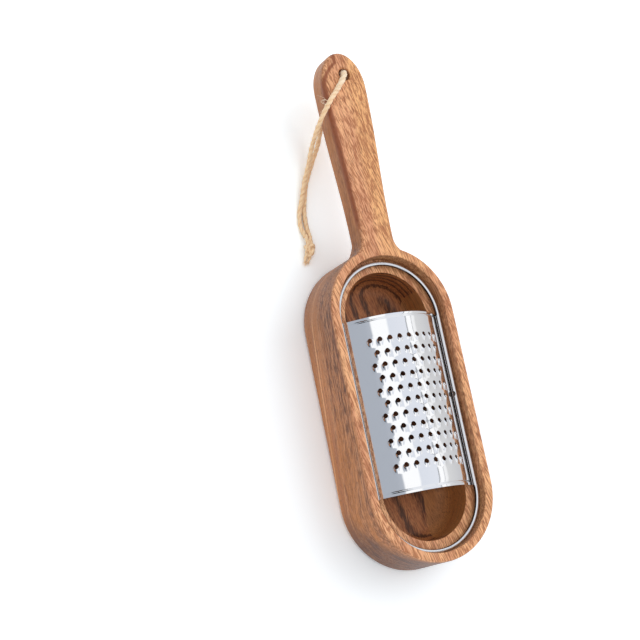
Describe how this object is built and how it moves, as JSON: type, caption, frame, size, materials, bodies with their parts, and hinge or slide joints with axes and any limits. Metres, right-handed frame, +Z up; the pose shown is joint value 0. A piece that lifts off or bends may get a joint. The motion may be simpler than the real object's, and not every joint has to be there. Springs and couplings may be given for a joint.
{
  "type": "cheese grater",
  "caption": "Hand grater: an arched perforated steel blade on a wire ring, resting in a long wooden tray with a handle and a cord loop to hang it by.",
  "frame": {"origin": "middle of the tray's flat base, halfway along the trough", "axes": "+Y from the trough towards the tip of the handle, +Z up out of the trough, +X across it"},
  "size_m": [0.096, 0.3599, 0.0563],
  "materials": {
    "acacia_wood": "oiled, satin",
    "steel_wire": "bright drawn",
    "polished_steel": "mirror polished",
    "jute": "twisted natural fibre"
  },
  "bodies": {
    "tray": {"wooden_body": "acacia_wood", "hanging_cord": "jute", "cord_knot": "jute"},
    "insert": {"wire_frame": "steel_wire", "grater_blade": "polished_steel"}
  },
  "joints": [
    {"name": "insert_lift", "type": "slide", "parent": "tray", "child": "insert", "axis": [0, 0, 1], "range_m": [0, 0.06]}
  ]
}
